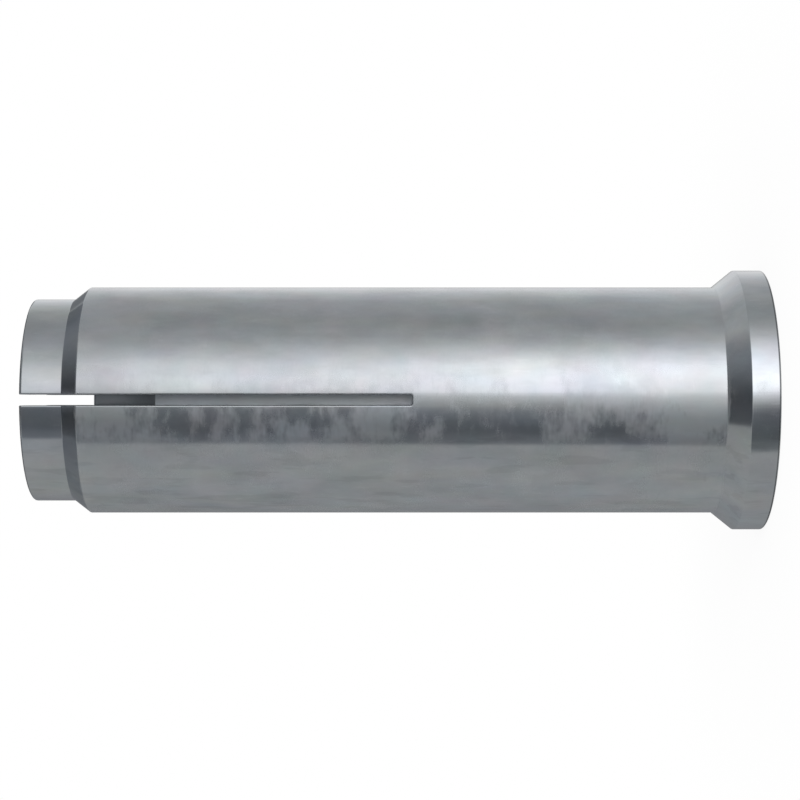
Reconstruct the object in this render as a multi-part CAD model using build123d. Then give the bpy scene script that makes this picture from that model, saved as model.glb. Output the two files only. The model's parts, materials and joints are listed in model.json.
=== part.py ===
from build123d import *
from math import radians, tan
import os

# A drop in anchor for an M20 bolt. A steel sleeve is threaded from one end and
# slit into four legs at the other, and a wedge plug waits inside it. A blow on
# a setting pin drives the plug down the tapered bore and spreads the legs.
#
# Millimetres, +Z up. The anchor stands on its rim: the origin is the centre of
# the rim's flat face, at the mouth of the thread, and +Z runs along the axis
# to the slit end.

# Outside of the sleeve
anchor_length = 80.0
body_diameter = 24.9
rim_diameter = 28.6
rim_thickness = 3.05
rim_slope_length = 2.3
neck_diameter = 22.25
neck_length = 4.49
shoulder_length = 1.72
outer_edge_break = 0.2

# Internal thread: the bore is left at the thread's core size
thread_diameter = 20.0
thread_pitch = 2.5
mouth_relief = 0.5

# Saw cuts that part the legs
leg_count = 4
slot_width = 1.15
slot_length = 41.57
slot_corner_radius = 0.2

# Tapered bore in the legs
taper_length = 14.07
taper_angle = 11.0

# Wedge plug
plug_length = 36.2
nose_length = 6.75
plug_edge_break = 0.5

# Clearances, each on the radius or along the axis
plug_drop_clearance = 0.4
plug_hold_clearance = 0.1
plug_back_gap = 0.5

# How far a cutter reaches past the metal it cuts
cut_margin = 1.0

# Radii and heights that follow from the sizes above
body_radius = body_diameter / 2
rim_radius = rim_diameter / 2
neck_radius = neck_diameter / 2
core_radius = (thread_diameter - 1.0825 * thread_pitch) / 2
mouth_radius = thread_diameter / 2 + mouth_relief
plug_radius = core_radius - plug_drop_clearance
chamber_radius = plug_radius + plug_hold_clearance

taper_slope = tan(radians(taper_angle))
taper_start = anchor_length - taper_length
plug_nose_height = taper_start + nose_length
plug_back_height = plug_nose_height - plug_length
thread_end = plug_back_height - plug_back_gap


def sleeve_section():
    """Half section of the sleeve, radius across and height up."""
    rim_side_top = rim_thickness
    body_bottom = rim_side_top + rim_slope_length
    neck_bottom = anchor_length - neck_length
    body_top = neck_bottom - shoulder_length
    outside = [
        (rim_radius - outer_edge_break, 0),
        (rim_radius, outer_edge_break),
        (rim_radius, rim_side_top),
        (body_radius, body_bottom),
        (body_radius, body_top),
        (neck_radius, neck_bottom),
        (neck_radius, anchor_length - outer_edge_break),
        (neck_radius - outer_edge_break, anchor_length),
    ]
    inside = [
        (chamber_radius - taper_length * taper_slope, anchor_length),
        (chamber_radius, taper_start),
        (chamber_radius, thread_end),
        (core_radius, thread_end),
        (core_radius, mouth_radius - core_radius),
        (mouth_radius, 0),
    ]
    return make_face(Plane.XZ * Polyline(*outside, *inside, close=True))


def slot_cutter():
    """One saw cut from the axis outwards, its closed end slightly rounded."""
    outline = Rectangle(
        slot_width, slot_length + cut_margin, align=(Align.CENTER, Align.MIN)
    )
    closed_end = outline.vertices().group_by(Axis.Y)[0]
    outline = fillet(closed_end, slot_corner_radius)
    slot_bottom = (0, 0, anchor_length - slot_length)
    facing_out = Plane(origin=slot_bottom, x_dir=(0, 1, 0), z_dir=(1, 0, 0))
    return extrude(facing_out * outline, body_radius + cut_margin)


def anchor_sleeve():
    """The rimmed sleeve, turned in one piece and then sawn into legs."""
    leg_angle = 360 / leg_count
    # The seam of the turned surfaces runs up the middle of a leg, clear of the slots.
    sleeve = Rot(0, 0, leg_angle / 2) * revolve(sleeve_section(), Axis.Z)
    for leg in range(leg_count):
        sleeve -= Rot(0, 0, leg * leg_angle) * slot_cutter()
    return sleeve


def expander_plug():
    """The wedge plug, its nose cone resting at the start of the taper."""
    nose_radius = plug_radius - nose_length * taper_slope
    half_section = [
        (0, plug_back_height),
        (plug_radius - plug_edge_break, plug_back_height),
        (plug_radius, plug_back_height + plug_edge_break),
        (plug_radius, taper_start),
        (nose_radius, plug_nose_height),
        (0, plug_nose_height),
    ]
    return revolve(make_face(Plane.XZ * Polyline(*half_section, close=True)), Axis.Z)


os.makedirs("parts", exist_ok=True)
export_step(anchor_sleeve(), "parts/anchor_sleeve.step")
export_step(expander_plug(), "parts/expander_plug.step")
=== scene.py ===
"""A drop in anchor in bright zinc plate, standing on its rim in a light tent.

The anchor's axis is +Z. The camera looks along +Y with its top towards +X, so that
the anchor lies across the picture with its slit end on the left.
"""

import json
from math import asin, ceil, cos, pi, radians, sin, tan, tau

import bmesh
import bpy
from mathutils import Matrix, Vector


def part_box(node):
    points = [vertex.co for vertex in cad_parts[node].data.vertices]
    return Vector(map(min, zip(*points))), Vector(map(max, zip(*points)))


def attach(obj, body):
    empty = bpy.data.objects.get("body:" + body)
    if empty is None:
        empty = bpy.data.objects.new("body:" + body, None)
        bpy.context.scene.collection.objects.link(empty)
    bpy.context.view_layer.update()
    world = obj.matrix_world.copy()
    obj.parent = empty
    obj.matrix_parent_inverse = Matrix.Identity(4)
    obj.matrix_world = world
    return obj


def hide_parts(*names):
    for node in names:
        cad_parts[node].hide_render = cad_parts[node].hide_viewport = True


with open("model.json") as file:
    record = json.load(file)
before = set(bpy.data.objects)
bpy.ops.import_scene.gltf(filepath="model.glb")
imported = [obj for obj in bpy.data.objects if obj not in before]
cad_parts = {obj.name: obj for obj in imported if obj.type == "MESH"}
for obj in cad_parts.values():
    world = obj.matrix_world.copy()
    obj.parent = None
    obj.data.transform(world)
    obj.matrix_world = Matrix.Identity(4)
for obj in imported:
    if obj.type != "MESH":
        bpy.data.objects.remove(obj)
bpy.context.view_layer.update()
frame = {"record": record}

# Sizes that the frame gives, in metres
sleeve_low, sleeve_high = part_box("anchor_sleeve")
plug_low, plug_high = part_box("expander_plug")
mounts = {mount["name"]: mount for mount in frame["record"]["mounts"]}
anchor_length = sleeve_high.z
rim_radius = sleeve_high.x
body_radius = mounts["sleeve_outside"]["dims"]["r_mm"] / 1000
core_radius = mounts["internal_thread"]["dims"]["r_mm"] / 1000
plug_radius = plug_high.x
plug_back = plug_low.z
plug_nose = plug_high.z

# Outside of the sleeve
rim_thickness = 0.00305
rim_slope_length = 0.0023
neck_radius = 0.011125
neck_length = 0.00449
shoulder_length = 0.00172
edge_rounding = 0.00025
rim_edge_rounding = 0.00015
root_rounding = 0.0001

# Thread: the flat on its crest and the reach of each 60 degree flank are the metric profile's
thread_pitch = 0.0025
thread_crest = thread_pitch / 4
thread_flank = thread_pitch * 5 / 16
thread_root_radius = 0.010
thread_run_out = 0.006
spare_turns = 2
mouth_radius = 0.0105

# Bore and plug
plug_back_gap = 0.0005
plug_hold_clearance = 0.0001
taper_length = 0.01407
taper_slope = tan(radians(11))
plug_edge_rounding = 0.0005

# Slots
leg_count = 4
slot_width = 0.00115
slot_length = 0.04157
slot_corner_radius = 0.0002
slot_deburr = 0.00012

# Fineness of the meshes
leg_columns = 44
corner_steps = 4
longest_row = 0.003
hold_width = 0.00007
foot_height = 0.0006
join_distance = 2e-8
shortest_edge = 1e-8
sharp_angle = radians(28)

# Places that follow
chamber_radius = plug_radius + plug_hold_clearance
thread_end = plug_back - plug_back_gap
taper_start = anchor_length - taper_length
slot_floor = anchor_length - slot_length
slot_side_start = slot_floor + slot_corner_radius
leg_start = slot_side_start + 2 * hold_width
ring_top = slot_floor - foot_height
leg_angle = tau / leg_count
body_start = rim_thickness + rim_slope_length
body_end = anchor_length - neck_length - shoulder_length
half_slot = slot_width / 2
slot_margin = slot_deburr + hold_width


def rounded_outline(corners):
    """Points through (radius, height, rounding) corners: an arc at each rounded one,
    a row close by on either side of it to keep the flats flat, and rows along what is long."""
    turns = []
    for index, (radius, height, rounding) in enumerate(corners):
        corner = Vector((radius, height))
        if rounding == 0:
            turns.append([corner])
            continue
        back = (Vector(corners[index - 1][:2]) - corner).normalized()
        ahead = (Vector(corners[index + 1][:2]) - corner).normalized()
        half_angle = back.angle(ahead) / 2
        reach = rounding / tan(half_angle)
        centre = corner + (back + ahead).normalized() * (rounding / sin(half_angle))
        first = (corner + back * reach - centre).normalized()
        last = (corner + ahead * reach - centre).normalized()
        turn = [corner + back * (reach + hold_width)]
        for step in range(corner_steps + 1):
            turn.append(centre + first.slerp(last, step / corner_steps) * rounding)
        turn.append(corner + ahead * (reach + hold_width))
        turns.append(turn)
    outline = list(turns[0])
    for turn in turns[1:]:
        start = outline[-1]
        count = ceil((turn[0] - start).length / longest_row)
        outline += [start.lerp(turn[0], step / count) for step in range(1, count)]
        outline += turn
    return outline


def outline_normals(outline):
    """Normal of each point of an outline that keeps the metal on its left."""
    normals = []
    for index in range(len(outline)):
        before = outline[index] - outline[max(index - 1, 0)]
        after = outline[min(index + 1, len(outline) - 1)] - outline[index]
        along = (before.normalized() + after.normalized()).normalized()
        normals.append(Vector((along.y, -along.x)))
    return normals


def turned(radius, angle, height):
    """Point at a radius, an angle round the axis and a height."""
    return Vector((radius * cos(angle), radius * sin(angle), height))


def beside_slot(slot, side, radius, height):
    """Point at a distance to one side of a slot's middle plane."""
    return turned(radius, slot * leg_angle + asin(side / radius), height)


class Shell:
    """A closed skin put together from grids of points that meet at their borders."""

    def __init__(self):
        self.mesh = bmesh.new()

    def grid(self, rows):
        """Faces between rows of points. Each row has as many points as the next."""
        rows = [[self.mesh.verts.new(point) for point in row] for row in rows]
        for lower, upper in zip(rows, rows[1:]):
            for index in range(len(lower) - 1):
                corners = (lower[index], lower[index + 1], upper[index + 1], upper[index])
                self.mesh.faces.new(corners)

    def face(self, points):
        """One flat face."""
        self.mesh.faces.new([self.mesh.verts.new(point) for point in points])

    def piece(self, name):
        """The finished piece: borders joined, faces outwards, arrises over the sharp angle sharp."""
        bmesh.ops.remove_doubles(self.mesh, verts=self.mesh.verts, dist=join_distance)
        bmesh.ops.dissolve_degenerate(self.mesh, edges=self.mesh.edges, dist=shortest_edge)
        bmesh.ops.recalc_face_normals(self.mesh, faces=self.mesh.faces)
        data = bpy.data.meshes.new(name)
        self.mesh.to_mesh(data)
        self.mesh.free()
        data.shade_smooth()
        data.set_sharp_from_angle(angle=sharp_angle)
        piece = bpy.data.objects.new(name, data)
        bpy.context.scene.collection.objects.link(piece)
        return piece


def slot_foot():
    """Path round a slot's closed end as (side, height, normal) from one leg to the other."""
    flat = half_slot - slot_corner_radius
    sideways = Vector((1, 0))
    path = [(half_slot, leg_start, sideways), (half_slot, slot_side_start, sideways)]
    for step in range(1, corner_steps + 1):
        turn = step / corner_steps * pi / 2
        normal = Vector((cos(turn), -sin(turn)))
        side = flat + slot_corner_radius * normal.x
        height = slot_side_start + slot_corner_radius * normal.y
        path.append((side, height, normal))
    path.append((0, slot_floor, Vector((0, -1))))
    mirrored = [(-side, height, Vector((-n.x, n.y))) for side, height, n in path[-2::-1]]
    return path + mirrored


def arris_sections():
    """(offset from the slot's side, depth under the surface) across a deburred arris."""
    sections = [(slot_margin, 0)]
    for step in range(corner_steps + 1):
        turn = step / corner_steps * pi / 2
        sections.append((slot_deburr * (1 - sin(turn)), slot_deburr * (1 - cos(turn))))
    return sections + [(0, slot_deburr + hold_width)]


def around_foot(path):
    """(side, height) of each point of a slot's path, moved outwards by the slot's margin."""
    return [(side + slot_margin * n.x, height + slot_margin * n.y) for side, height, n in path]


foot_path = slot_foot()
foot_columns = around_foot(foot_path)
arris = arris_sections()


def leg_row(leg, radius, height):
    """A row of points across one leg, from the slot before it to the slot after it."""
    edge = asin((half_slot + slot_margin) / radius)
    start = leg * leg_angle + edge
    span = leg_angle - 2 * edge
    row = []
    for column in range(leg_columns + 1):
        row.append(turned(radius, start + span * column / leg_columns, height))
    return row


def ring_angles(radius):
    """Angle of each column round the unslit ring, spaced to meet the slots and legs above."""
    angles = []
    edge = asin((half_slot + slot_margin) / radius)
    span = leg_angle - 2 * edge
    for slot in range(leg_count):
        middle = slot * leg_angle
        angles += [middle + asin(side / radius) for side, height in foot_columns[-2:0:-1]]
        angles += [middle + edge + span * column / leg_columns for column in range(1, leg_columns)]
    return angles + [angles[0] + tau]


def ring_rows(outline, angles):
    """Rows of points where an outline is turned round the axis."""
    return [[turned(radius, angle, height) for angle in angles] for radius, height in outline]


def leg_outline():
    """Outline of a leg from the slot's foot up the outside, over the end and down the bore."""
    end_radius = chamber_radius - taper_length * taper_slope
    return rounded_outline([
        (body_radius, leg_start, 0),
        (body_radius, body_end, rim_edge_rounding),
        (neck_radius, anchor_length - neck_length, root_rounding),
        (neck_radius, anchor_length, edge_rounding),
        (end_radius, anchor_length, edge_rounding),
        (chamber_radius, taper_start, edge_rounding),
        (chamber_radius, leg_start, 0),
    ])


def add_legs(shell):
    """The legs, with the sides that the saw left and their deburred arrises."""
    outline = leg_outline()
    normals = outline_normals(outline)
    normals[0] = Vector((1, 0))
    normals[-1] = Vector((-1, 0))
    for leg in range(leg_count):
        shell.grid([leg_row(leg, radius, height) for radius, height in outline])
        for slot, hand in ((leg, 1), (leg + 1, -1)):
            rows = []
            for point, normal in zip(outline, normals):
                row = []
                for offset, depth in arris:
                    radius, height = point - normal * depth
                    row.append(beside_slot(slot, hand * (half_slot + offset), radius, height))
                rows.append(row)
            shell.grid(rows)
            shell.face([row[-1] for row in rows])


def add_slot_feet(shell):
    """The closed end of each slot, through the wall, and the skin just below it."""
    for slot in range(leg_count):
        rows = []
        for side, height, normal in foot_path:
            row = []
            for surface, inwards, sections in (
                (body_radius, -1, arris),
                (chamber_radius, 1, arris[::-1]),
            ):
                for offset, depth in sections:
                    place = side + offset * normal.x
                    radius = surface + inwards * depth
                    row.append(beside_slot(slot, place, radius, height + offset * normal.y))
            rows.append(row)
        shell.grid(rows)
        edge = foot_columns[1:-1]
        for surface in (body_radius, chamber_radius):
            shell.grid([
                [beside_slot(slot, side, surface, ring_top) for side, height in edge],
                [beside_slot(slot, side, surface, height) for side, height in edge],
            ])
            heights = (ring_top, slot_side_start, leg_start)
            shell.grid([leg_row(slot, surface, height) for height in heights])


def add_outer_ring(shell):
    """Outside of the unslit end, from the slots' feet over the rim to the mouth, where its
    last row has the bore's columns."""
    outline = rounded_outline([
        (body_radius, ring_top, 0),
        (body_radius, body_start, root_rounding),
        (rim_radius, rim_thickness, rim_edge_rounding),
        (rim_radius, 0, rim_edge_rounding),
        (mouth_radius + hold_width, 0, 0),
    ])
    rows = ring_rows(outline, ring_angles(body_radius))
    rows[-1:] = ring_rows(outline[-1:], ring_angles(chamber_radius))
    shell.grid(rows)


def thread_column(angle):
    """(radius, height) down one column of the thread, cut back by the countersunk mouth.

    The thread is right-handed, and its turns fade out over the run-out at the inner end,
    as a tap leaves them."""
    turn = [
        (0, core_radius),
        (thread_crest, core_radius),
        (thread_crest + thread_flank, thread_root_radius),
        (thread_pitch - thread_flank, thread_root_radius),
    ]
    points = []
    for number in range(-spare_turns, ceil(thread_end / thread_pitch) + spare_turns):
        start = (number + angle / tau) * thread_pitch
        for rise, radius in turn:
            height = start + rise
            fade = min(max((thread_end - height) / thread_run_out, 0), 1)
            points.append((core_radius + (radius - core_radius) * fade, height))
    column = []
    for (radius, height), (next_radius, next_height) in zip(points, points[1:]):
        over = radius - (mouth_radius - height)
        next_over = next_radius - (mouth_radius - next_height)
        share = over / (over - next_over) if over * next_over < 0 else 0.5
        middle_radius = radius + (next_radius - radius) * share
        middle_height = height + (next_height - height) * share
        column += [(radius, height), (middle_radius, middle_height)]
    cut = []
    for radius, height in column:
        height = min(max(height, 0), thread_end)
        if height < thread_end:
            cut.append((max(radius, mouth_radius - height), height))
        else:
            cut.append((core_radius, height))
    return cut


def add_bore(shell):
    """The thread, the step at its inner end and the plug's bore up to the slots' feet."""
    angles = ring_angles(chamber_radius)
    columns = []
    for angle in angles:
        columns.append([turned(radius, angle, height) for radius, height in thread_column(angle)])
    shell.grid(columns)
    shell.grid(ring_rows([(mouth_radius, 0), (mouth_radius + hold_width, 0)], angles))
    steps = ceil((ring_top - thread_end) / longest_row)
    bore = [(core_radius, thread_end), (chamber_radius, thread_end)]
    for step in range(1, steps + 1):
        bore.append((chamber_radius, thread_end + (ring_top - thread_end) * step / steps))
    shell.grid(ring_rows(bore, angles))


def make_sleeve():
    """The sleeve, turned, tapped and sawn from one piece."""
    shell = Shell()
    add_legs(shell)
    add_slot_feet(shell)
    add_outer_ring(shell)
    add_bore(shell)
    return shell.piece("turned_sleeve")


def make_plug():
    """The wedge plug, a cylinder with a conical nose towards the slit end."""
    shell = Shell()
    nose_radius = plug_radius - (plug_nose - taper_start) * taper_slope
    outline = rounded_outline([
        (0, plug_back, 0),
        (plug_radius, plug_back, plug_edge_rounding),
        (plug_radius, taper_start, root_rounding),
        (nose_radius, plug_nose, edge_rounding),
        (0, plug_nose, 0),
    ])
    columns = leg_count * leg_columns
    angles = [tau * column / columns for column in range(columns + 1)]
    shell.grid(ring_rows(outline, angles))
    return shell.piece("wedge_plug")


class Socket:
    """A node's output that Python's operators work on, each by a Math node of its own."""

    def __init__(self, graph, output):
        self.graph = graph
        self.output = output

    def math(self, operation, *others):
        """A Math node with this output in its first input."""
        inputs = dict(enumerate((self, *others)))
        return self.graph.add("ShaderNodeMath", {"operation": operation}, inputs)

    def flipped(self, operation, other):
        """A Math node with this output in its second input."""
        inputs = {0: other, 1: self}
        return self.graph.add("ShaderNodeMath", {"operation": operation}, inputs)

    def __add__(self, other):
        return self.math("ADD", other)

    def __sub__(self, other):
        return self.math("SUBTRACT", other)

    def __mul__(self, other):
        return self.math("MULTIPLY", other)

    def __radd__(self, other):
        return self.flipped("ADD", other)

    def __rsub__(self, other):
        return self.flipped("SUBTRACT", other)

    def __rmul__(self, other):
        return self.flipped("MULTIPLY", other)


class Graph:
    """The nodes of one material or world."""

    def __init__(self, owner):
        owner.use_nodes = True
        self.tree = owner.node_tree
        self.tree.nodes.clear()

    def add(self, kind, settings, inputs, output=0):
        """A node of a kind: its settings first, then its inputs as values or links."""
        node = self.tree.nodes.new(kind)
        for name, value in settings.items():
            setattr(node, name, value)
        for name, value in inputs.items():
            if isinstance(value, Socket):
                self.tree.links.new(value.output, node.inputs[name])
            else:
                node.inputs[name].default_value = value
        return Socket(self, node.outputs[output]) if node.outputs else None

    def seen_rays(self):
        """One for a ray that the camera, metal or glass sends out, nought for light."""
        rays = self.add("ShaderNodeLightPath", {}, {}).output.node.outputs
        from_camera = Socket(self, rays["Is Camera Ray"])
        from_metal = Socket(self, rays["Is Glossy Ray"])
        from_glass = Socket(self, rays["Is Transmission Ray"])
        return (from_camera + from_metal + from_glass).math("MINIMUM", 1)

    def ranged(self, value, low, high, to_low, to_high):
        """A value taken from one range to another by a smooth step, and held at its ends."""
        settings = {"interpolation_type": "SMOOTHSTEP"}
        inputs = {
            "Value": value,
            "From Min": low,
            "From Max": high,
            "To Min": to_low,
            "To Max": to_high,
        }
        return self.add("ShaderNodeMapRange", settings, inputs)

    def noise(self, place, scale, detail, roughness=0.5):
        """Cloudy noise from 0 to 1, with so many features to a metre."""
        inputs = {"Vector": place, "Scale": scale, "Detail": detail, "Roughness": roughness}
        return self.add("ShaderNodeTexNoise", {"noise_dimensions": "3D"}, inputs)

    def stretched(self, place, shares):
        """A place with its sides multiplied, so that a pattern on it is drawn out."""
        return self.add("ShaderNodeVectorMath", {"operation": "MULTIPLY"}, {0: place, 1: shares})

    def mixed(self, share, first, second, blend="MIX"):
        """A colour between two colours, or the two multiplied."""
        settings = {"data_type": "RGBA", "blend_type": blend}
        return self.add("ShaderNodeMix", settings, {0: share, 6: first, 7: second}, 2)


def grey(level):
    """A neutral colour."""
    return (level, level, level, 1)


# The dull veil: the noise that it starts and is full at, and what each place adds or takes
veil_starts = 0.445
veil_full = 0.605
veil_at_slit_end = 0.07
veil_at_rim_end = 0.14
veil_off_neck = 0.16
veil_off_slope = 0.22
veil_off_rim = 0.03
veil_end_full = 0.002
veil_end_reach = 0.010
neck_fade = 0.0003
slope_fade = 0.0004
rim_fade = 0.0002
veil_roughness = 0.42

# Across the anchor, the veil is full between the middle two of these places
veil_band = (-0.0048, -0.0034, -0.001, 0.004)
veil_below_band = 0.4
veil_above_band = 0.25

# Smears along the plate: the noise that they start and are full at, and their darkness. They
# are strong up to the first of these places across, and faint past the second
smear_range = (0.55, 0.62)
smear_darkness = 0.13
smear_places = (-0.004, -0.003)
smear_elsewhere = 0.3

# Scuffs along the plate: the noise that they start and are full at
scuff_range = (0.60, 0.72)
scuff_paleness = 0.4

# Painted dark reflection on the outermost edges, in place of the dark that their small roundings
# mirror: the rim's by height and radius, the slit end's by depth and inset
painted_rim_edge_heights = (0.00015, 0.00025)
painted_rim_edge_radii = (0.01385, 0.01405)
painted_end_edge_depths = (0.00022, 0.0001)
painted_end_edge_insets = (0.0003, 0.00015)
painted_end_edge_share = 0.7

# Painted shade in the narrow gap where the plug's cone meets the taper, on the cone and on the taper
gap_shade_reach = 0.005
gap_shade_start_fade = 0.00005
gap_shade_radius_margins = (0.0001, 0.0003)
gap_shade_share = 0.8

# The plate's greys as shares of its tone, and the casts of its clear film
darkest_share = 0.70
lightest_share = 1.30
greyness_lift = 0.015
rose_cast = (1.015, 0.988, 1.02, 1)
green_cast = (0.870, 1.012, 1.02, 1)
blue_cast = (1, 1, 1.11, 1)
straw_cast = (1, 1, 0.93, 1)
pale_share = 1.1
# Darkness of the painted shade and the painted dark reflection, as a share of the plate's colour
painted_dark_share = 0.3

# Relief of the plate
tool_mark_pitch = 0.0003
tool_mark_slant = 0.7
tool_mark_wander = 4
relief_depth = 0.00002
relief_strength = 0.25


def veil_cover(graph, clouds, height, sideways):
    """How much of the dull veil lies at a place, from 0 to 1.

    The clouds thicken towards both ends of the body, and thin on the neck, on the slope
    and on the rim. Across the anchor they are thickest in a band beside the middle."""
    slit_end_from = body_end - veil_end_reach
    slit_end_to = body_end - veil_end_full
    slit_end = graph.ranged(height, slit_end_from, slit_end_to, 0, veil_at_slit_end)
    rim_end_from = body_start + veil_end_full
    rim_end_to = body_start + veil_end_reach
    rim_end = graph.ranged(height, rim_end_from, rim_end_to, veil_at_rim_end, 0)
    on_neck = graph.ranged(height, body_end, body_end + neck_fade, 0, veil_off_neck)
    on_slope = graph.ranged(height, body_start - slope_fade, body_start, veil_off_slope, 0)
    on_rim = graph.ranged(height, rim_thickness - rim_fade, rim_thickness, veil_off_rim, 0)
    clouds = clouds + slit_end + rim_end - on_neck - (on_rim + on_slope)
    below, band_start, band_end, above = veil_band
    cover = graph.ranged(clouds, veil_starts, veil_full, 0, 1)
    cover = cover * graph.ranged(sideways, band_end, above, 1, veil_above_band)
    return cover * graph.ranged(sideways, below, band_start, veil_below_band, 1)


def edge_painted_reflection(graph, height, radius):
    """Painted dark reflection on the rim's edge round the mouth's face, and fainter, on the neck's
    edge at the slit end.
    """
    rim_edge = graph.ranged(height, *painted_rim_edge_heights, 1, 0)
    rim_edge = rim_edge * graph.ranged(radius, *painted_rim_edge_radii, 0, 1)
    end_heights = [anchor_length - depth for depth in painted_end_edge_depths]
    end_radii = [neck_radius - inset for inset in painted_end_edge_insets]
    end_edge = graph.ranged(height, *end_heights, 0, 1)
    end_edge = end_edge * graph.ranged(radius, *end_radii, 0, 1)
    return rim_edge.math("MAXIMUM", end_edge * painted_end_edge_share)


def cone_gap_painted_shade(graph, height, radius):
    """Painted shade where the plug's cone meets the taper, which thins out towards the slit end."""
    gap_shade_radii = [chamber_radius + margin for margin in gap_shade_radius_margins]
    gap_shade = graph.ranged(height, taper_start, taper_start + gap_shade_reach, 1, 0)
    gap_shade = gap_shade * graph.ranged(height, taper_start - gap_shade_start_fade, taper_start, 0, 1)
    return gap_shade * graph.ranged(radius, *gap_shade_radii, 1, 0)


def plate_colour(graph, tone, greyness, rose_to_green, blue_to_straw):
    """The plate's varied grey under a clear film with faint casts of colour."""
    darkest = grey(tone * darkest_share)
    lightest = grey(tone * lightest_share)
    shade = graph.mixed(greyness, darkest, lightest)
    rose_film = graph.mixed(rose_to_green, rose_cast, green_cast)
    blue_film = graph.mixed(blue_to_straw, blue_cast, straw_cast)
    shade = graph.mixed(1, shade, rose_film, "MULTIPLY")
    return graph.mixed(1, shade, blue_film, "MULTIPLY")


def zinc_plate(name, tone, roughness, veil, shift):
    """Bright zinc plate over turned steel.

    A dull veil lies on the plate in soft clouds, feathered round the axis. It scatters what
    the plate mirrors, so it shows where a dark reflection lies beside a bright one. The
    plate's grey varies a little, and its clear film casts rose and green, blue and straw.
    Smears and scuffs run along the piece and tool marks round it. The outermost edges carry a
    painted dark reflection, and painted shade lies where the plug's cone meets the taper. The
    shift, in metres, gives each piece a place of its own in the noises."""
    material = bpy.data.materials.new(name)
    graph = Graph(material)
    place = graph.add("ShaderNodeTexCoord", {}, {}, "Object")
    height = graph.add("ShaderNodeSeparateXYZ", {}, {0: place}, "Z")
    sideways = graph.add("ShaderNodeSeparateXYZ", {}, {0: place}, "X")
    flat_place = graph.stretched(place, (1, 1, 0))
    radius = graph.add("ShaderNodeVectorMath", {"operation": "LENGTH"}, {0: flat_place}, "Value")
    shifted = graph.add("ShaderNodeVectorMath", {"operation": "ADD"}, {0: place, 1: shift})
    drawn_round = graph.stretched(shifted, (0.6, 0.6, 1))
    feathered = graph.stretched(shifted, (0.22, 0.22, 1))
    drawn_half = graph.stretched(shifted, (1, 1, 0.5))
    drawn_along = graph.stretched(shifted, (1, 1, 0.25))
    drawn_far = graph.stretched(shifted, (1, 1, 0.2))

    drift = graph.noise(shifted, scale=90, detail=1)
    broad = graph.noise(drawn_round, scale=330, detail=3, roughness=0.55)
    patches = graph.noise(drawn_round, scale=900, detail=2)
    feathers = graph.noise(feathered, scale=2400, detail=1)
    streaks = graph.noise(drawn_along, scale=1500, detail=2, roughness=0.6)
    tarnish = graph.noise(drawn_half, scale=320, detail=4, roughness=0.55)
    smearing = graph.noise(drawn_far, scale=800, detail=3)
    rose_to_green = graph.noise(shifted, scale=260, detail=2, roughness=0.6)
    blue_to_straw = graph.noise(drawn_along, scale=340, detail=2, roughness=0.6)

    clouds = broad * 0.42 + patches * 0.20 + drift * 0.31 + feathers * 0.07
    cover = veil_cover(graph, clouds, height, sideways)
    scuffs = graph.ranged(streaks, *scuff_range, 0, 1)
    smears = graph.ranged(smearing, *smear_range, 0, 1)
    smears = smears * graph.ranged(sideways, *smear_places, 1, smear_elsewhere)

    greyness = tarnish * 0.8 + blue_to_straw * 0.2 + greyness_lift - smears * smear_darkness
    plate = plate_colour(graph, tone, greyness, rose_to_green, blue_to_straw)
    pale = graph.mixed(1, plate, grey(pale_share), "MULTIPLY")
    # The plate darkened for painted shade in the cone's gap and painted dark reflection on the edges
    painted_dark_plate = graph.mixed(1, plate, grey(painted_dark_share), "MULTIPLY")
    worn = graph.mixed(scuffs * scuff_paleness, plate, pale)
    gap_shade = cone_gap_painted_shade(graph, height, radius) * gap_shade_share
    painted_darkness = edge_painted_reflection(graph, height, radius).math("MAXIMUM", gap_shade)
    coloured = graph.mixed(painted_darkness, worn, painted_dark_plate)

    rise = height + radius * tool_mark_slant
    tool_marks = (rise * (tau / tool_mark_pitch) + patches * tool_mark_wander).math("SINE")
    relief = patches * 0.35 + feathers * 0.03 + tool_marks * 0.008
    inputs = {"Strength": relief_strength, "Distance": relief_depth, "Height": relief}
    normal = graph.add("ShaderNodeBump", {}, inputs)
    shine = roughness + patches * 0.03 + scuffs * 0.04
    inputs = {"Base Color": coloured, "Metallic": 1, "Roughness": shine, "Normal": normal}
    bright = graph.add("ShaderNodeBsdfPrincipled", {}, inputs)
    inputs = {"Base Color": pale, "Metallic": 1, "Roughness": veil_roughness, "Normal": normal}
    dull = graph.add("ShaderNodeBsdfPrincipled", {}, inputs)
    surface = graph.add("ShaderNodeMixShader", {}, {0: cover * veil, 1: bright, 2: dull})
    graph.add("ShaderNodeOutputMaterial", {}, {"Surface": surface})
    return material


def stage_piece(name, data, material):
    """Something of the studio's, which isn't part of the anchor."""
    data.materials.append(material)
    piece = bpy.data.objects.new(name, data)
    bpy.context.scene.collection.objects.link(piece)
    return piece


# Floor
floor_size = 2.0
floor_drop = 0.00001
floor_whiteness = 0.9
shadow_share = 0.1
shadow_reach = 0.09

# Tent
tent_radius = 0.5
tent_low = -0.4
tent_high = 0.376
wall_rows = 80
roof_half_rows = 50

# How bright the tent's wall is, by the angle from the camera towards the picture's top
wall_levels = (
    (-180, 0.21),
    (-150, 0.265),
    (-120, 0.320),
    (-46, 0.325),
    (-43.5, 0.165),
    (-38, 0.145),
    (-32, 0.112),
    (-11, 0.107),
    (-3, 0.297),
    (3, 0.594),
    (10, 1.075),
    (20, 1.16),
    (34, 1.02),
    (48, 0.69),
    (58, 0.49),
    (66, 0.397),
    (78, 0.332),
    (90, 0.325),
    (118, 0.405),
    (146, 0.68),
    (154, 0.76),
    (162, 0.74),
    (172, 0.35),
    (180, 0.29),
)

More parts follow.
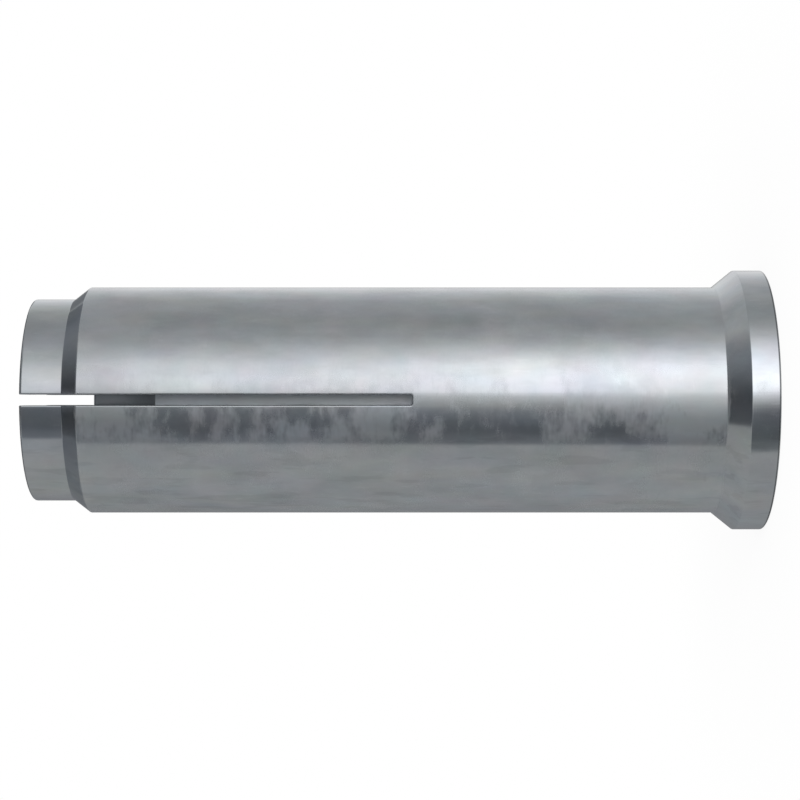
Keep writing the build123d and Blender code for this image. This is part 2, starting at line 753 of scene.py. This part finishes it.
# How strong the lit window in that wall is by height, and the share of it at an angle
window_shares = ((-4, 0), (2, 1), (45, 1), (55, 0.55), (75, 0.1), (100, 0))
window_heights = (
    (-0.40, 0.45),
    (-0.20, 0.62),
    (-0.13, 1.0),
    (-0.10, 1.15),
    (-0.082, 1.25),
    (-0.075, 1.30),
    (0.0, 1.08),
    (0.03, 1.02),
    (0.05, 0.88),
    (0.10, 0.83),
    (0.15, 0.72),
    (0.19, 0.655),
    (0.22, 0.5),
    (0.26, 0.22),
    (0.32, 0.16),
)

# Light that spills past the window's edge at the smaller angles, by angle and by height
spill_angles = ((-27, 0), (-20, 0.03), (-13, 0.085), (-9, 0.115), (-4, 0.09), (2, 0))
spill_heights = ((-0.085, 0.1), (-0.07, 1), (0.03, 1), (0.07, 0.6), (0.14, 0.5), (0.16, 0.2))

# How far the window's edge leans, in degrees by height
window_leans = ((-0.09, 0.6), (-0.075, -1.3), (-0.03, -0.3), (0.03, 0), (0.07, 1))

# The wall behind the anchor darkens past this angle and above this height
back_angles = ((140, 0), (150, 1))
back_heights = ((0.17, 0), (0.22, 1))
back_level = 0.18


def between(stations, place):
    """Value at a place between (place, value) stations, held past the ends."""
    if place <= stations[0][0]:
        return stations[0][1]
    for (start, value), (end, next_value) in zip(stations, stations[1:]):
        if place <= end:
            return value + (next_value - value) * (place - start) / (end - start)
    return stations[-1][1]


def wall_level(angle, height):
    """How bright the tent's wall is at an angle and a height."""
    angle -= between(window_leans, height)
    spill = between(spill_angles, angle) * between(spill_heights, height)
    share = between(window_shares, angle)
    window = 1 - share + share * between(window_heights, height)
    level = between(wall_levels, angle) * window + spill
    behind = between(back_angles, abs(angle)) * between(back_heights, height)
    return level + (back_level - level) * behind


# The tent's roof is a dark flag, lighter to both sides of its middle and by the wall on the
# camera's side
flag_edge = -0.117
flag_levels = (
    (-0.15, 0.066),
    (-0.12, 0.055),
    (-0.08, 0.032),
    (-0.035, 0.036),
    (0, 0.043),
    (0.1, 0.062),
)
flag_glows = ((0, 0), (0.05, 0.017), (0.125, 0.097), (0.18, 0.158), (0.275, 0.235), (0.37, 0.42))
glow_under_share = 0.6
glow_fade = 2.7
glow_least = 0.4
flag_limit = 0.38
corner_distances = ((0.34, 0), (0.48, 1))
corner_depths = ((0.18, 1), (0.26, 0))
corner_level = 0.40

# Past the flag's edge the roof is plain cloth, lighter on the near side of a fold
fold_middle = -0.03
fold_slant = 2.2
fold_corner = 0.21
near_level = 0.285
near_rise = 0.25
near_limit = 0.33
far_level = 0.13
far_rise = 0.45
far_limit = 0.17

# A skylight lies in both: a wedge that widens away from the camera, and a round part at the axis
skylight_level = 0.42
skylight_half_width = 0.05
skylight_spread = 0.4
skylight_end = 0.36
skylight_round = 0.035
soft_edge = 0.03


def cloth_level(x, y):
    """How bright the roof's plain cloth is at a place past the flag's edge."""
    fold = max(fold_middle, -fold_slant * (x + fold_corner))
    near = min(near_level + near_rise * (flag_edge - x), near_limit)
    far = min(far_level + far_rise * (flag_edge - x), far_limit)
    return between(((fold - soft_edge / 2, near), (fold + soft_edge / 2, far)), y)


def flag_level(x, y):
    """How bright the dark flag is at a place."""
    fade = max(1 - glow_fade * max(y, 0), glow_least)
    glow = between(flag_glows, max(x, -glow_under_share * x))
    level = min(between(flag_levels, y) + fade * glow, flag_limit)
    corner = between(corner_distances, Vector((x, y)).length) * between(corner_depths, y)
    return level + (corner_level - level) * corner


def roof_level(x, y):
    """How bright the tent's roof is at a place."""
    level = cloth_level(x, y) if x < flag_edge else flag_level(x, y)
    from_side = abs(x) - skylight_half_width - skylight_spread * y
    from_wedge = max(from_side, -y, y - skylight_end)
    from_round = Vector((x, y)).length - skylight_round
    lit = between(((-soft_edge / 2, 1), (soft_edge / 2, 0)), min(from_wedge, from_round))
    return level + (skylight_level - level) * lit


# The tent's cloth is bluer where it is dark, and a little lilac in the window
blue_below = 0.31
blue_span = 0.18
blue_tint = (-0.045, 0, 0.09)
lilac_above = 0.45
lilac_span = 0.6
lilac_tint = (0.02, 0, 0.02)


def cloth_colour(level):
    """Colour of the tent's cloth at a level of brightness."""
    blueness = min(max((blue_below - level) / blue_span, 0), 1)
    lilac = min(max((level - lilac_above) / lilac_span, 0), 1)
    colour = []
    for blue_part, lilac_part in zip(blue_tint, lilac_tint):
        colour.append(level * (1 + blue_part * blueness + lilac_part * lilac))
    return (*colour, 1)


def tent_material():
    """Glowing cloth, as bright as each point of the mesh says."""
    material = bpy.data.materials.new("tent_cloth")
    graph = Graph(material)
    colour = graph.add("ShaderNodeAttribute", {"attribute_name": "glow"}, {}, "Color")
    glow = graph.add("ShaderNodeEmission", {}, {"Color": colour, "Strength": 1})
    graph.add("ShaderNodeOutputMaterial", {}, {"Surface": glow})
    material.cycles.emission_sampling = "NONE"
    return material


def make_tent():
    """A round light tent that only reflections see."""
    mesh = bmesh.new()
    glow = mesh.verts.layers.float_color.new("glow")

    def point(place, level):
        """A point of the cloth with its colour."""
        vertex = mesh.verts.new(place)
        vertex[glow] = cloth_colour(level)
        return vertex

    def skin(rows):
        """Cloth between rows of points."""
        for lower, upper in zip(rows, rows[1:]):
            for index in range(len(lower) - 1):
                mesh.faces.new((lower[index], lower[index + 1], upper[index + 1], upper[index]))

    wall = []
    for step in range(wall_rows + 1):
        height = tent_low + (tent_high - tent_low) * step / wall_rows
        row = []
        for angle in range(-180, 181):
            x = tent_radius * sin(radians(angle))
            y = -tent_radius * cos(radians(angle))
            row.append(point((x, y, height), wall_level(angle, height)))
        wall.append(row)
    skin(wall)
    roof = []
    for across in range(-roof_half_rows, roof_half_rows + 1):
        x = across * tent_radius / roof_half_rows
        row = []
        for along in range(-roof_half_rows, roof_half_rows + 1):
            y = along * tent_radius / roof_half_rows
            row.append(point((x, y, tent_high), roof_level(x, y)))
        roof.append(row)
    skin(roof)
    data = bpy.data.meshes.new("light_tent")
    mesh.to_mesh(data)
    mesh.free()
    tent = stage_piece("light_tent", data, tent_material())
    tent.visible_camera = False
    tent.visible_diffuse = False
    tent.visible_shadow = False


def make_floor():
    """A white floor that keeps a faint shadow round the rim. From below it can be seen through."""
    material = bpy.data.materials.new("white_floor")
    graph = Graph(material)
    place = graph.add("ShaderNodeTexCoord", {}, {}, "Object")
    distance = graph.add("ShaderNodeVectorMath", {"operation": "LENGTH"}, {0: place}, "Value")
    share = graph.ranged(distance, rim_radius, shadow_reach, 1 - shadow_share, 1)
    matt = graph.add("ShaderNodeBsdfDiffuse", {}, {"Color": grey(floor_whiteness)})
    glow = graph.add("ShaderNodeEmission", {}, {"Color": grey(1), "Strength": 1})
    top = graph.add("ShaderNodeMixShader", {}, {0: graph.seen_rays() * share, 1: matt, 2: glow})
    underside = graph.add("ShaderNodeNewGeometry", {}, {}, "Backfacing")
    clear = graph.add("ShaderNodeBsdfTransparent", {}, {})
    surface = graph.add("ShaderNodeMixShader", {}, {0: underside, 1: top, 2: clear})
    graph.add("ShaderNodeOutputMaterial", {}, {"Surface": surface})
    mesh = bmesh.new()
    bmesh.ops.create_grid(mesh, x_segments=1, y_segments=1, size=floor_size / 2)
    data = bpy.data.meshes.new("floor")
    mesh.to_mesh(data)
    mesh.free()
    floor = stage_piece("floor", data, material)
    floor.location.z = -floor_drop
    floor.visible_glossy = False


# Light on the floor, from the world and from a lamp that stands for the window
soft_level = 0.9
lamp_width = 0.3
lamp_height = 0.4
lamp_power = 1.2
lamp_place = (0.2, -0.42, 0.45)


def light_studio():
    """A white background, and a plain soft level of light on the floor."""
    world = bpy.data.worlds.new("studio")
    bpy.context.scene.world = world
    graph = Graph(world)
    white = graph.add("ShaderNodeBackground", {}, {"Color": grey(1), "Strength": 1})
    soft = graph.add("ShaderNodeBackground", {}, {"Color": grey(1), "Strength": soft_level})
    surface = graph.add("ShaderNodeMixShader", {}, {0: graph.seen_rays(), 1: soft, 2: white})
    graph.add("ShaderNodeOutputWorld", {}, {"Surface": surface})

    lamp = bpy.data.lights.new("window_lamp", "AREA")
    lamp.shape = "RECTANGLE"
    lamp.size = lamp_width
    lamp.size_y = lamp_height
    lamp.energy = lamp_power
    holder = bpy.data.objects.new("window_lamp", lamp)
    bpy.context.scene.collection.objects.link(holder)
    holder.location = lamp_place
    holder.rotation_euler = (-Vector(lamp_place)).to_track_quat("-Z", "Y").to_euler()
    holder.visible_glossy = False


# Camera
picture_size = 800
sensor_width = 36.0
camera_distance = 0.23402
camera_height = 0.03918
focal_pixels = 2112.2
centre_offset_pixels = 5.3
nearest_seen = 0.01
farthest_seen = 10


def set_camera():
    """The camera looks along +Y, with +X up in the picture and +Z to its left."""
    camera = bpy.data.cameras.new("camera")
    camera.sensor_width = sensor_width
    camera.lens = focal_pixels / picture_size * sensor_width
    camera.shift_x = -centre_offset_pixels / picture_size
    camera.clip_start = nearest_seen
    camera.clip_end = farthest_seen
    holder = bpy.data.objects.new("camera", camera)
    bpy.context.scene.collection.objects.link(holder)
    right = Vector((0, 0, -1))
    up = Vector((1, 0, 0))
    back = Vector((0, -1, 0))
    holder.matrix_world = Matrix((right, up, back)).transposed().to_4x4()
    holder.location = (0, -camera_distance, camera_height)
    bpy.context.scene.camera = holder


sleeve = make_sleeve()
sleeve_plate = zinc_plate("sleeve_zinc_plate", tone=0.70, roughness=0.09, veil=0.88, shift=(5, 0, 0))
sleeve.data.materials.append(sleeve_plate)
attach(sleeve, "root")
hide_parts("anchor_sleeve")

plug = make_plug()
plug_plate = zinc_plate("plug_zinc_plate", tone=0.51, roughness=0.27, veil=0.2, shift=(0, 0, 0))
plug.data.materials.append(plug_plate)
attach(plug, "root")
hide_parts("expander_plug")

make_floor()
make_tent()
light_studio()
set_camera()
bpy.context.scene.view_settings.view_transform = "Standard"
